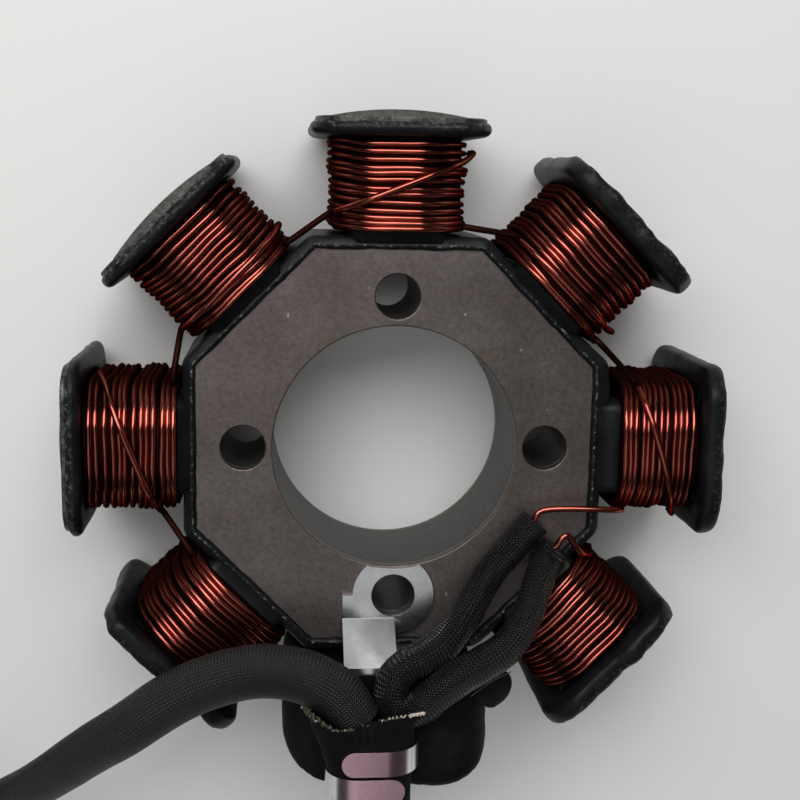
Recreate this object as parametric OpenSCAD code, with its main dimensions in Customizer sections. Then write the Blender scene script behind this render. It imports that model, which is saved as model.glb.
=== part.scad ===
// Wound stator: a laminated core with eight poles, seven copper coils, one taped exciter coil,
// a cable clip and a sleeved harness. The bore axis is Z, the rear ring face is at z = 0,
// the exciter pole points along -Y and the front faces +Z.

/* [Core] */
// Diameter of the central bore
bore_d = 31.5; // [28:0.1:33]
// Thickness of the ring over both end plates
core_t = 18; // [15:0.5:22]
// Distance across the flats of the steel octagon
ring_flats = 53.2; // [51:0.2:55]
// Thickness of each end plate
end_plate_t = 1.5; // [1:0.1:2]
// Bolt circle diameter
bolt_circle_d = 39; // [38:0.1:40]
// Bolt hole diameter
bolt_hole_d = 5.7; // [5:0.1:6.2]

/* [Poles] */
// Diameter over the pole tips
tip_d = 85.4; // [84.6:0.2:88]
// Width of a pole neck
neck_w = 11.4; // [10:0.2:12]
// Width of a pole shoe in the steel
shoe_w = 21.2; // [18:0.2:22]
// Distance of a lip's outer face from the bore axis
lip_face_r = 41.6; // [41:0.1:42]
// Axial height over the coated lips
lip_h = 28; // [27:0.5:31]
// Corner radius of a lip in the steel
lip_corner_r = 4; // [2:0.5:5]

/* [Coating] */
// Thickness of the epoxy on the ring wall, the necks and the lip edges
coat_t = 0.6; // [0.4:0.1:0.9]
// Thickness of the epoxy on the inner face of a shoe
shoe_coat_t = 0.8; // [0.6:0.1:1.4]
// Width of the coated border on the ring faces
ridge_w = 1.2; // [0.5:0.1:1.8]
// Bare strip left along the outer edge of a lip
bare_strip = 0.2; // [0.1:0.1:0.9]

/* [Coils] */
// Diameter of the enamelled wire
wire_d = 0.82; // [0.7:0.01:0.86]
// Turns in the outer layer
turns = 13; // [8:1:13]
// Depth of a winding over all its layers
winding_build = 2.6; // [2:0.1:2.9]
// Clearance between a winding and what it sits on
winding_gap = 0.1; // [0.05:0.05:0.2]
// Inner corner radius of a winding
winding_corner_r = 1.5; // [0.6:0.1:1.8]
// Free length of a neck between the ring and its winding
root_gap = 0.5; // [0.1:0.1:1]

/* [Exciter] */
// Width of the taped exciter coil
exciter_w = 27; // [26:0.5:28]
// Sideways offset of the taped exciter coil
exciter_x = -1; // [-1.5:0.5:1]
// Height of the tape's front over the ring's front face
exciter_front = 6.5; // [5.5:0.5:8]
// Thickness of the cloth tape
tape_t = 1.2; // [0.8:0.1:1.6]
// Distance of the tape's outer end from the bore axis
exciter_r = 43; // [42.5:0.1:44]
// Corner radius of the taped coil seen along Z
exciter_plan_r = 6.5; // [4.5:0.5:6.5]
// Corner radius of the taped coil seen along the pole
exciter_side_r = 5; // [3:0.5:7]

/* [Clip and wrap] */
// Thickness of the clip's strip
clip_t = 0.8; // [0.6:0.1:1]
// Width of the clip's stem
stem_w = 6.8; // [5:0.2:8]
// Width of each finger
finger_w = 3.2; // [2.4:0.1:3.4]
// Reach of a finger past the middle of the bundle
finger_reach = 3.9; // [3:0.1:4.5]
// Width of the wrapped bundle
wrap_w = 10; // [9:0.2:11]
// Height of the wrapped bundle
wrap_h = 6.6; // [6.6:0.1:8]
// Sideways place of the clip and the bundle
clip_x = -3.2; // [-4:0.2:-2]
// Diameter of the clip's eye round the bolt hole
eye_d = 10.6; // [9:0.1:10.8]

/* [Leads and harness] */
// Diameter of a sleeved lead
lead_d = 4.2; // [3.4:0.1:4.2]
// Diameter of the harness sleeve
sleeve_d = 6; // [5:0.1:6]
// Mean radius of the stored coil of sleeve
store_r = 30; // [29.6:0.1:31]
// Thickness of the tie's strap
tie_t = 0.5; // [0.3:0.1:0.6]
// Width of the tie's strap
tie_w = 4; // [2.5:0.5:6]
// Diameter of a harness wire
harness_wire_d = 1.6; // [1.2:0.1:1.8]
// Length of the connector housing
housing_l = 16; // [12:0.5:18]
// Width of the connector housing
housing_w = 11; // [10.5:0.5:13]
// Height of the connector housing
housing_h = 6.4; // [5:0.2:6.6]

/* [Hidden] */
$fn = 64;

poles = 8;
coils = 7;
pole_step = 360 / poles;
exciter_angle = -90;
mid_z = core_t / 2;
ring_apothem = ring_flats / 2;
coated_apothem = ring_apothem + coat_t;
lip_inner_r = lip_face_r - end_plate_t;
shoe_inner_r = lip_inner_r - shoe_coat_t;
floor_z = mid_z - lip_h / 2;
tip_r = tip_d / 2;

// Windings
coat_w = neck_w + 2 * coat_t;
coat_h = core_t + 2 * coat_t;
winding_in_w = coat_w + 2 * winding_gap;
winding_in_h = coat_h + 2 * winding_gap;
winding_start = coated_apothem + root_gap;
winding_l = shoe_inner_r - winding_gap - winding_start;
turn_pitch = winding_l / turns;
winding_front_z = mid_z + winding_in_h / 2 + winding_build;

// Crossover wires run this far over the winding they cross, and this many turns from its ends
crossovers = 5;
cross_gap = 0.26;
end_turns = 1.5;
cross_r = winding_corner_r + winding_build + cross_gap + wire_d / 2;
cross_flat = winding_in_w / 2 - winding_corner_r;
cross_z = winding_front_z + cross_gap + wire_d / 2;
cross_corner_v = cross_flat + cross_r * cos(45);
cross_corner_z = cross_z - cross_r * (1 - sin(45));

// Exciter
exciter_front_z = core_t + exciter_front;
exciter_floor_gap = 0.6;
exciter_rear_z = floor_z + exciter_floor_gap;
exciter_pad = 2.8;
exciter_winding_w = exciter_w - 2 * tape_t - 2 * exciter_pad;
exciter_winding_r = 3;
tip_clear = 0.2;

// Clip and bundle
eye_y = -bolt_circle_d / 2;
eye_gap = 0.2;
clip_gap = 0.1;
cradle_z = exciter_front_z + clip_gap;
wrap_z = cradle_z + clip_t + wrap_h / 2;
finger_right_y = -36.5;
finger_gap = 0.4;
finger_left_y = finger_right_y - finger_w - finger_gap;
cradle_y = finger_left_y - finger_w / 2;
ramp_foot = 2.4;
ramp_y = ridge_w - ring_apothem + ramp_foot;
ramp_gap = 0.4;
ramp_end_y = ramp_gap - winding_start;
wrap_end_y = -45;
wrap_top_y = -34;
mouth_wall = 0.2;
mouth_l = 2.8;

// The stored coil lies on the tie's strap, left of the stator
turn_gap = 0.2;
turn_space = sleeve_d + turn_gap;
store_center = [-95.8, -27];
tie_gap = 0.1;
store_h = sleeve_d + turn_gap;
store_z = floor_z + tie_t + tie_gap + store_h / 2;
outer_turn_r = store_r + turn_space / 2;
inner_turn_r = store_r - turn_space / 2;
store_out_r = outer_turn_r + store_h / 2;
store_in_r = inner_turn_r - store_h / 2;
store_corner_r = sleeve_d / 2;
tie_angle = 150;
entry_l = 20.8;
entry_lead = 3;
tail_r = 13;
tail_angle = 110;
tail_center = [store_center.x + inner_turn_r - tail_r, store_center.y];
tail_end = [tail_center.x + tail_r * cos(tail_angle), tail_center.y - tail_r * sin(tail_angle)];
tail_heading = 270 - tail_angle;
collar_l = 5;
collar_wall = 0.4;
collar_d = sleeve_d + 2 * collar_wall;
wire_run = 9;
wire_gap = 0.2;
wire_straight = 2.7;
terminal_pitch = 2.4;
terminal_w = 1.9;
terminal_recess = 3;
cut_over = 1;

// Hand-chosen route of the harness sleeve, from the wrap to the stored coil
sleeve_route = [
  [-4.6, -32.5, wrap_z],
  [-6.5, -30.4, wrap_z],
  [-8.9, -28.6, wrap_z - 0.1],
  [-12.6, -27, wrap_z - 0.4],
  [-17.7, -26.7, wrap_z - 1],
  [-23.3, -28.3, 27],
  [-28.3, -30.9, 26.4],
  [-33.4, -34.8, 25.2],
  [-39, -39.2, 22.2],
  [-45, -44.6, 17.6],
  [-50.5, -49.4, 12.6],
  [-56, -53.7, 7.4],
  [-62, -57.6, 2.2],
  [-67.5, -59.6, -0.6],
  [store_center.x + entry_l + entry_lead, store_center.y - outer_turn_r, store_z],
  [store_center.x + entry_l, store_center.y - outer_turn_r, store_z]];

// Hand-chosen routes of the two leads, from the wrap to the gap between coils 6 and 7
lead_gap = 0.2;
lead_rest_z = core_t + lead_d / 2 + lead_gap;
lead_inner_route = [
  [0.7, -31.6, wrap_z - 0.9],
  [0.3, -29, wrap_z - 0.9],
  [1.1, -26.8, 27.8],
  [3.1, -24.8, 27],
  [5.8, -22.8, 25],
  [9.2, -20.2, 22.4],
  [12.4, -16.2, lead_rest_z],
  [16, -11.8, lead_rest_z],
  [18.2, -9.2, lead_rest_z]];
lead_outer_route = [
  [4.7, -32.4, wrap_z + 0.9],
  [6.5, -30.4, wrap_z + 0.7],
  [9.2, -27.6, 28],
  [12.8, -23.8, 25.4],
  [16.4, -17.8, 22.6],
  [19.6, -14, lead_rest_z + 0.4],
  [21, -12.6, lead_rest_z + 0.4]];
route_steps = 3;
wire_steps = 4;
cord_sides = 12;
wire_sides = 8;
lead_straight = 2;
lead_reach = 1.5;
lead_side = 0.4;
lead_rise = 0.6;

function pole_angle(i) = 225 - pole_step * (i - 1);
function unit(v) = v / norm(v);
// A point of a pole's own frame: radial distance, sideways distance, height
function at_pole(a, p) = [p.x * cos(a) - p.y * sin(a), p.x * sin(a) + p.y * cos(a), p.z];
function spline_point(a, b, c, d, t) =
  0.5 * (2 * b + (c - a) * t + (2 * a - 5 * b + 4 * c - d) * t * t + (3 * b - a - 3 * c + d) * t * t * t);
// Smooth curve through the given points, with n steps between two of them
function smooth(p, n) = [
  for (i = [0 : len(p) - 2])
    for (k = [0 : (i == len(p) - 2 ? n : n - 1)])
      spline_point(i == 0 ? 2 * p[0] - p[1] : p[i - 1], p[i], p[i + 1],
        i == len(p) - 2 ? 2 * p[i + 1] - p[i] : p[i + 2], k / n)];
function heading(p, i) = unit(p[min(i + 1, len(p) - 1)] - p[max(i - 1, 0)]);
function tube_ring(c, t, r, sides, up) =
  let (side = unit(cross(t, up)), top = cross(side, t))
  [for (k = [0 : sides - 1]) c + r * (cos(360 * k / sides) * side + sin(360 * k / sides) * top)];

// Round tube swept along a line of points
module tube(line, d, sides, up = [0, 0, 1]) {
  rings = len(line);
  points = [for (i = [0 : rings - 1]) each tube_ring(line[i], heading(line, i), d / 2, sides, up)];
  walls = [
    for (i = [0 : rings - 2])
      for (k = [0 : sides - 1])
        let (m = (k + 1) % sides)
        [i * sides + k, i * sides + m, (i + 1) * sides + m, (i + 1) * sides + k]];
  first_cap = [for (k = [sides - 1 : -1 : 0]) k];
  last_cap = [for (k = [0 : sides - 1]) (rings - 1) * sides + k];
  polyhedron(points, concat([first_cap, last_cap], walls), convexity = 6);
}

module rounded_rect(w, h, r) {
  square([w, h - 2 * r], center = true);
  square([w - 2 * r, h], center = true);
  for (x = [-1, 1]) {
    for (y = [-1, 1]) {
      translate([x * (w / 2 - r), y * (h / 2 - r)]) circle(r);
    }
  }
}

module octagon(apothem) {
  rotate(pole_step / 2) circle(apothem / cos(pole_step / 2), $fn = poles);
}

// Extrudes an outline drawn as sideways by height outwards along a pole, from r0 to r1
module along_pole(angle, r0, r1) {
  rotate([0, 0, angle - 90]) translate([0, r0, 0]) rotate([90, 0, 180]) linear_extrude(r1 - r0) children();
}

// Core
module core_holes() {
  circle(d = bore_d);
  for (i = [0 : 3]) {
    rotate(90 * i) translate([bolt_circle_d / 2, 0]) circle(d = bolt_hole_d);
  }
}

module pole_tip() {
  intersection() {
    circle(tip_r, $fn = 128);
    translate([lip_inner_r, -shoe_w / 2]) square([tip_r, shoe_w]);
  }
}

module neck_flat(length) {
  translate([0, -neck_w / 2]) square([length, neck_w]);
}

module sheet_outline() {
  difference() {
    union() {
      octagon(ring_apothem);
      for (i = [0 : poles - 1]) {
        rotate(i * pole_step) {
          neck_flat(lip_inner_r + end_plate_t / 2);
          pole_tip();
        }
      }
    }
    core_holes();
  }
}

module lamination_stack() {
  color("silver")
    translate([0, 0, end_plate_t]) linear_extrude(core_t - 2 * end_plate_t) sheet_outline();
}

module lip_outline(w, h, r) {
  intersection() {
    rounded_rect(w, 2 * h, r);
    translate([-w / 2, 0]) square([w, h]);
  }
}

// End plate with its lips bent to the front
module end_plate_shape() {
  linear_extrude(end_plate_t) difference() {
    union() {
      octagon(ring_apothem);
      for (i = [1 : coils]) {
        rotate(pole_angle(i)) neck_flat(lip_inner_r + end_plate_t / 2);
      }
      rotate(exciter_angle) {
        neck_flat(lip_inner_r + end_plate_t / 2);
        pole_tip();
      }
    }
    core_holes();
  }
  for (i = [1 : coils]) {
    along_pole(pole_angle(i), lip_inner_r, lip_face_r)
      lip_outline(shoe_w, end_plate_t + (lip_h - core_t) / 2 - coat_t, lip_corner_r);
  }
}

module front_end_plate() {
  color("lightgray") translate([0, 0, core_t - end_plate_t]) end_plate_shape();
}

module rear_end_plate() {
  color("lightgray") translate([0, 0, end_plate_t]) mirror([0, 0, 1]) end_plate_shape();
}

// Coating
module neck_coat(angle) {
  along_pole(angle, ring_apothem - ridge_w, shoe_inner_r + shoe_coat_t / 2)
    translate([0, mid_z]) rounded_rect(coat_w, coat_h, winding_corner_r);
}

module coat_envelope() {
  translate([0, 0, -coat_t]) linear_extrude(core_t + 2 * coat_t) octagon(coated_apothem);
  for (i = [1 : coils]) {
    neck_coat(pole_angle(i));
    along_pole(pole_angle(i), shoe_inner_r, lip_face_r - bare_strip)
      translate([0, mid_z]) rounded_rect(shoe_w + 2 * coat_t, lip_h, lip_corner_r + coat_t);
  }
  neck_coat(exciter_angle);
  along_pole(exciter_angle, shoe_inner_r, lip_face_r - bare_strip)
    translate([0, mid_z]) square([shoe_w + 2 * coat_t, coat_h], center = true);
}

// The steel inside the coating, solid through the ring
module coated_steel() {
  linear_extrude(core_t) octagon(ring_apothem);
  translate([0, 0, -2 * coat_t]) linear_extrude(core_t + 4 * coat_t) octagon(ring_apothem - ridge_w);
  for (i = [1 : coils]) {
    rotate(pole_angle(i)) linear_extrude(core_t) {
      neck_flat(lip_inner_r + end_plate_t / 2);
      pole_tip();
    }
    along_pole(pole_angle(i), lip_inner_r, lip_face_r)
      translate([0, mid_z]) rounded_rect(shoe_w, lip_h - 2 * coat_t, lip_corner_r);
  }
  rotate(exciter_angle) linear_extrude(core_t) {
    neck_flat(lip_inner_r + end_plate_t / 2);
    pole_tip();
  }
}

module epoxy_coating() {
  color([0.07, 0.07, 0.08]) difference() {
    coat_envelope();
    coated_steel();
  }
}

// Windings: the section has one round ridge for each turn
module winding_section() {
  square([winding_build - wire_d / 2, winding_l]);
  for (i = [0 : turns - 1]) {
    translate([winding_build - wire_d / 2, (i + 0.5) * turn_pitch]) circle(d = wire_d, $fn = 24);
  }
}

module winding_corner() {
  rotate_extrude(angle = 90) translate([winding_corner_r, 0]) winding_section();
}

module winding_side(length) {
  translate([winding_corner_r, -length, 0]) rotate([90, 0, 180]) mirror([1, 0, 0])
    linear_extrude(length) winding_section();
}

module winding_shape() {
  half_w = winding_in_w / 2 - winding_corner_r;
  half_h = winding_in_h / 2 - winding_corner_r;
  for (k = [0, 1]) {
    rotate(180 * k) {
      translate([half_w, half_h, 0]) {
        winding_corner();
        winding_side(2 * half_h);
      }
      translate([-half_w, half_h, 0]) rotate(90) {
        winding_corner();
        winding_side(2 * half_w);
      }
    }
  }
}

module coil(i) {
  color([0.55, 0.22, 0.13])
    rotate([0, 0, pole_angle(i)]) translate([winding_start, 0, mid_z]) rotate([90, 0, 90]) winding_shape();
}

// A wire laid over the front of coil i + 1 and on to the root of coil i. It starts at the outer end
// of every second coil, and one turn from the root of the others
module crossover(i) {
  from = pole_angle(i + 1);
  to = pole_angle(i);
  last_r = winding_start + end_turns * turn_pitch;
  outer_r = winding_start + winding_l - end_turns * turn_pitch;
  first_r = i % 2 == 1 ? outer_r : last_r + turn_pitch;
  slope = (first_r - last_r) / (2 * cross_corner_v);
  route = [
    at_pole(from, [first_r, -cross_corner_v, cross_corner_z]),
    at_pole(from, [first_r - slope * (cross_corner_v - cross_flat), -cross_flat, cross_z]),
    at_pole(from, [(first_r + last_r) / 2, 0, cross_z]),
    at_pole(from, [last_r + slope * (cross_corner_v - cross_flat), cross_flat, cross_z]),
    at_pole(from, [last_r, cross_corner_v, cross_corner_z]),
    at_pole(to, [last_r, -cross_corner_v, cross_corner_z])];
  color([0.62, 0.27, 0.16]) tube(smooth(route, route_steps), wire_d, wire_sides);
}

// Exciter coil and its cloth tape
module exciter_block(inset, rear, front, r0, r1, side_r, plan_r) {
  w = exciter_w - 2 * inset;
  h = front - rear;
  intersection() {
    along_pole(exciter_angle, r0, r1)
      translate([exciter_x, (front + rear) / 2]) rounded_rect(w, h, side_r);
    translate([exciter_x, -(r0 + r1) / 2, rear - cut_over]) linear_extrude(h + 2 * cut_over)
      rounded_rect(w, r1 - r0, plan_r);
  }
}

module exciter_pole_space(reach) {
  along_pole(exciter_angle, ring_apothem, shoe_inner_r + reach)
    translate([0, mid_z]) rounded_rect(winding_in_w, winding_in_h, winding_corner_r);
}

module exciter_winding_envelope() {
  along_pole(exciter_angle, winding_start + tape_t, shoe_inner_r - winding_gap)
    translate([0, mid_z]) rounded_rect(exciter_winding_w, coat_h + 2 * winding_build, exciter_winding_r);
}

module exciter_winding() {
  color([0.3, 0.1, 0.07]) difference() {
    exciter_winding_envelope();
    exciter_pole_space(0);
  }
}

module exciter_tape() {
  color([0.09, 0.09, 0.1]) difference() {
    exciter_block(0, exciter_rear_z, exciter_front_z, winding_start, exciter_r, exciter_side_r, exciter_plan_r);
    exciter_winding_envelope();
    exciter_pole_space(tape_t);
    along_pole(exciter_angle, shoe_inner_r - winding_gap, exciter_r + tip_r)
      translate([0, mid_z])
        square([shoe_w + 2 * coat_t + 2 * tip_clear, coat_h + 2 * tip_clear], center = true);
  }
}

// Cable clip: an eye on the ring, a stem over the exciter and two fingers round the bundle
module wrap_outline(grow) {
  h = wrap_h + 2 * grow;
  w = wrap_w + 2 * grow;
  square([w - h, h], center = true);
  for (x = [-1, 1]) {
    translate([x * (w - h) / 2, 0]) circle(h / 2);
  }
}

// Extrudes an outline drawn as X by Z over a width in Y
module across(y, width) {
  translate([0, y + width / 2, 0]) rotate([90, 0, 0]) linear_extrude(width) children();
}

// The bend of a finger round one side of the bundle
module finger_bend() {
  difference() {
    circle(wrap_h / 2 + clip_t);
    circle(wrap_h / 2);
    translate([-2 * wrap_h, -wrap_h]) square([2 * wrap_h, 2 * wrap_h]);
  }
}

// One finger, from the right side of the bundle or mirrored from its left side
module finger(y, mirrored) {
  bend_x = (wrap_w - wrap_h) / 2;
  tip_x = finger_w / 2 - finger_reach;
  translate([clip_x, y, wrap_z]) mirror([mirrored ? 1 : 0, 0, 0]) {
    across(0, finger_w) {
      translate([bend_x, 0]) finger_bend();
      translate([tip_x, wrap_h / 2]) square([bend_x - tip_x, clip_t]);
      translate([0, -wrap_h / 2 - clip_t]) square([bend_x, clip_t]);
    }
    translate([tip_x, 0, wrap_h / 2]) cylinder(d = finger_w, h = clip_t);
  }
}

module stem_profile() {
  polygon([
    [eye_y, core_t],
    [ramp_y, core_t],
    [ramp_end_y, cradle_z],
    [cradle_y, cradle_z],
    [cradle_y, cradle_z + clip_t],
    [ramp_end_y + clip_t / 2, cradle_z + clip_t],
    [ramp_y + clip_t / 2, core_t + clip_t],
    [eye_y, core_t + clip_t]]);
}

// The eye stays inside the coated border and clear of the bore
module clip_eye() {
  translate([0, 0, core_t]) linear_extrude(clip_t) difference() {
    intersection() {
      translate([0, eye_y]) circle(d = eye_d);
      octagon(ring_apothem - ridge_w - eye_gap);
    }
    circle(d = bore_d + 2 * eye_gap);
  }
}

module cable_clip() {
  color([0.78, 0.77, 0.74]) {
    difference() {
      union() {
        clip_eye();
        translate([clip_x - stem_w / 2, 0, 0]) rotate([90, 0, 90]) linear_extrude(stem_w) stem_profile();
      }
      translate([0, eye_y, 0]) cylinder(d = bolt_hole_d, h = wrap_z);
    }
    finger(finger_right_y, false);
    finger(finger_left_y, true);
  }
}

// Cloth wrap: a trunk through the clip and a mouth for each sleeve
module wrap_mouth(route, d) {
  back = -heading(smooth(route, route_steps), 0);
  translate(route[0]) rotate([0, acos(back.z), atan2(back.y, back.x)])
    cylinder(d = d + 2 * mouth_wall, h = mouth_l);
}

module bundle_wrap() {
  color([0.12, 0.12, 0.12]) {
    translate([clip_x, 0, wrap_z])
      across((wrap_top_y + wrap_end_y) / 2, wrap_top_y - wrap_end_y) wrap_outline(0);
    wrap_mouth(sleeve_route, sleeve_d);
    wrap_mouth(lead_inner_route, lead_d);
    wrap_mouth(lead_outer_route, lead_d);
  }
}

// Leads
module lead_sleeve_inner() {
  color([0.1, 0.1, 0.1]) tube(smooth(lead_inner_route, route_steps), lead_d, cord_sides);
}

module lead_sleeve_outer() {
  color([0.1, 0.1, 0.1]) tube(smooth(lead_outer_route, route_steps), lead_d, cord_sides);
}

// A bare wire from the end of a lead's sleeve to the root of a coil
module lead_wire(route, pole, side) {
  start = route[len(route) - 1];
  ahead = unit(start - route[len(route) - 2]);
  root = [winding_start + end_turns * turn_pitch, side * cross_corner_v, cross_corner_z];
  over = [winding_start - lead_reach, side * (cross_corner_v + lead_side), cross_corner_z + lead_rise];
  line = [start, start + lead_straight * ahead, at_pole(pole, over), at_pole(pole, root)];
  color([0.62, 0.27, 0.16]) tube(smooth(line, wire_steps), wire_d, wire_sides);
}

module lead_wire_inner() {
  lead_wire(lead_inner_route, pole_angle(6), -1);
}

module lead_wire_outer() {
  lead_wire(lead_outer_route, pole_angle(7), 1);
}

// Harness
module harness_sleeve() {
  color([0.1, 0.1, 0.1]) tube(smooth(sleeve_route, route_steps), sleeve_d, cord_sides);
}

module harness_coil() {
  color([0.1, 0.1, 0.1]) {
    translate([store_center.x, store_center.y, store_z]) {
      rotate_extrude() translate([store_r, 0])
        rounded_rect(store_out_r - store_in_r, store_h, store_corner_r);
      translate([0, -outer_turn_r, 0]) rotate([0, 90, 0]) cylinder(d = sleeve_d, h = entry_l);
    }
    translate([tail_center.x, tail_center.y, store_z]) rotate(-tail_angle)
      rotate_extrude(angle = tail_angle) translate([tail_r, 0]) circle(d = sleeve_d);
  }
}

module coil_tie() {
  loop_w = store_out_r - store_in_r + 2 * tie_gap;
  loop_h = store_h + 2 * tie_gap;
  color([0.85, 0.84, 0.8])
    translate([store_center.x, store_center.y, store_z]) rotate(tie_angle) translate([store_r, tie_w / 2, 0])
      rotate([90, 0, 0]) linear_extrude(tie_w) difference() {
        rounded_rect(loop_w + 2 * tie_t, loop_h + 2 * tie_t, store_corner_r + tie_gap + tie_t);
        rounded_rect(loop_w, loop_h, store_corner_r + tie_gap);
      }
}

// Places its children at the end of the stored coil, with +X along the cord
module at_tail() {
  translate([tail_end.x, tail_end.y, store_z]) rotate(tail_heading) children();
}

module sleeve_collar() {
  color([0.05, 0.05, 0.05]) at_tail() rotate([0, 90, 0]) cylinder(d = collar_d, h = collar_l);
}

module harness_wire(i, tint) {
  bunch = harness_wire_d / 2 + wire_gap;
  start_y = i < 3 ? -bunch : bunch;
  start_z = i == 1 || i == 4 ? bunch : -bunch;
  end_y = (i - 2.5) * terminal_pitch;
  line = [
    [collar_l, start_y, start_z],
    [collar_l + wire_straight, start_y, start_z],
    [collar_l + wire_run - wire_straight, end_y, 0],
    [collar_l + wire_run, end_y, 0]];
  color(tint) at_tail() tube(smooth(line, route_steps), harness_wire_d, wire_sides);
}

module terminal_places() {
  for (i = [1 : 4]) {
    translate([0, (i - 2.5) * terminal_pitch, 0]) children();
  }
}

module connector_housing() {
  color([0.9, 0.88, 0.82]) at_tail() translate([collar_l + wire_run, 0, 0]) difference() {
    translate([0, -housing_w / 2, -housing_h / 2]) cube([housing_l, housing_w, housing_h]);
    terminal_places() translate([-cut_over, -terminal_w / 2, -terminal_w / 2])
      cube([housing_l + 2 * cut_over, terminal_w, terminal_w]);
  }
}

module connector_terminals() {
  color([0.8, 0.65, 0.35]) at_tail() translate([collar_l + wire_run, 0, 0])
    terminal_places() translate([0, -terminal_w / 2, -terminal_w / 2])
      cube([housing_l - terminal_recess, terminal_w, terminal_w]);
}

lamination_stack();
front_end_plate();
rear_end_plate();
epoxy_coating();
for (i = [1 : coils]) coil(i);
for (i = [1 : crossovers]) crossover(i);
exciter_winding();
exciter_tape();
cable_clip();
bundle_wrap();
lead_sleeve_inner();
lead_sleeve_outer();
lead_wire_inner();
lead_wire_outer();
harness_sleeve();
harness_coil();
coil_tie();
sleeve_collar();
harness_wire(1, "gold");  // harness_wire_1
harness_wire(2, "white");  // harness_wire_2
harness_wire(3, "green");  // harness_wire_3
harness_wire(4, "firebrick");  // harness_wire_4
connector_housing();
connector_terminals();
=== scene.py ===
"""Wound stator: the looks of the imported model. Sizes are in millimetres until a mesh is made."""
import math
import random

import bmesh
import bpy
from mathutils import Matrix, Vector, noise


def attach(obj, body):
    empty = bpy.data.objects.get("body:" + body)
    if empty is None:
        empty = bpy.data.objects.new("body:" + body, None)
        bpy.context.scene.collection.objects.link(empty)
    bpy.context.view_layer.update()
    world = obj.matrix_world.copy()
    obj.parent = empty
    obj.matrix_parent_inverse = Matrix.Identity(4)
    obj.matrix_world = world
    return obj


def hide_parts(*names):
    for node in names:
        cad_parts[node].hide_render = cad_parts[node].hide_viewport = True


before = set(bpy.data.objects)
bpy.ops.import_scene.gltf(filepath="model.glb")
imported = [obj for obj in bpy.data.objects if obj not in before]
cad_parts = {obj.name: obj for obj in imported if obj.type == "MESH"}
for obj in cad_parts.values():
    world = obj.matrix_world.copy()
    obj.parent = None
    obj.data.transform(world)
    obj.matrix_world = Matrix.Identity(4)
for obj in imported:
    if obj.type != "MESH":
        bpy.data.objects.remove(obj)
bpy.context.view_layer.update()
MM = 0.001
UP = Vector((0, 0, 1))

# Sizes that the part's source also uses
CORE_T = 18.0
MID_Z = CORE_T / 2
FLOOR_Z = -5.0
RING_APOTHEM = 26.6
COAT_T = 0.6
COATED_APOTHEM = RING_APOTHEM + COAT_T
NECK_W = 11.4
SHOE_W = 21.2
LIP_H = 28.0
LIP_CORNER_R = 4.0
SHOE_INNER_R = 39.3
WIRE_D = 0.82
TURNS = 13
WINDING_BUILD = 2.6
WINDING_GAP = 0.1
WINDING_START = COATED_APOTHEM + 0.5
WINDING_END = SHOE_INNER_R - WINDING_GAP
WINDING_IN_W = NECK_W + 2 * COAT_T + 2 * WINDING_GAP
WINDING_IN_H = CORE_T + 2 * COAT_T + 2 * WINDING_GAP
CLIP_X = -3.2
WRAP_W = 10.0
WRAP_H = 6.6
WRAP_Z = 28.7
LEAD_D = 4.2
LEAD_REST_Z = CORE_T + LEAD_D / 2 + 0.2
SLEEVE_D = 6.0
COILS = 7
POLES = 8
POLE_STEP = 360.0 / POLES
FIRST_POLE_ANGLE = 225.0
EXCITER_ANGLE = -90.0

# The stored coil of the harness
STORE_Z = -1.3
STORE_CENTER = Vector((-95.8, -27.0, STORE_Z))
OUTER_TURN_R = 33.1
INNER_TURN_R = 26.9
ENTRY_L = 20.8
TAIL_R = 13.0
TAIL_ANGLE = 110.0
TAIL_CENTER = STORE_CENTER + Vector((INNER_TURN_R - TAIL_R, 0, 0))
COLLAR_L = 5.0
WIRE_RUN = 9.0
TERMINAL_PITCH = 2.4
HARNESS_WIRE_D = 1.6

# Route of the harness sleeve, the same as the solid's
SLEEVE_ROUTE = [
    (-4.6, -32.5, WRAP_Z), (-6.5, -30.4, WRAP_Z), (-8.9, -28.6, WRAP_Z - 0.1), (-12.6, -27, WRAP_Z - 0.4),
    (-17.7, -26.7, WRAP_Z - 1), (-23.3, -28.3, 27), (-28.3, -30.9, 26.4), (-33.4, -34.8, 25.2),
    (-39, -39.2, 22.2), (-45, -44.6, 17.6), (-50.5, -49.4, 12.6), (-56, -53.7, 7.4), (-62, -57.6, 2.2),
    (-67.5, -59.6, -0.6), (-72, -60.1, STORE_Z), (-75, -60.1, STORE_Z)]
# The visible ends of the leads are pressed together as cloth is, a little beside the solids' stiff routes
LEAD_INNER_ROUTE = [
    (0.2, -33.4, WRAP_Z - 0.6), (-0.8, -31.6, WRAP_Z - 0.9), (-0.9, -29.6, 27.6), (-0.3, -27.5, 27.3),
    (1.2, -26.1, 26.9), (3.2, -25.3, 26.3), (6, -23.8, 25.2), (9.2, -20.7, 22.8),
    (12.4, -16.3, LEAD_REST_Z), (16, -11.8, LEAD_REST_Z), (18.2, -9.2, LEAD_REST_Z)]
LEAD_OUTER_ROUTE = [
    (-0.6, -33.2, WRAP_Z), (1.0, -32, WRAP_Z + 0.2), (3.1, -30.5, WRAP_Z + 0.2), (5.5, -28.5, 28.7),
    (8.1, -26.8, 28.3), (11.3, -25.3, 27.6), (14.4, -23.4, 26.4), (16.8, -20.4, 24.4), (18.2, -17.2, 22.7),
    (19.8, -14.1, LEAD_REST_Z + 0.4), (21, -12.6, LEAD_REST_Z + 0.4)]


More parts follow.
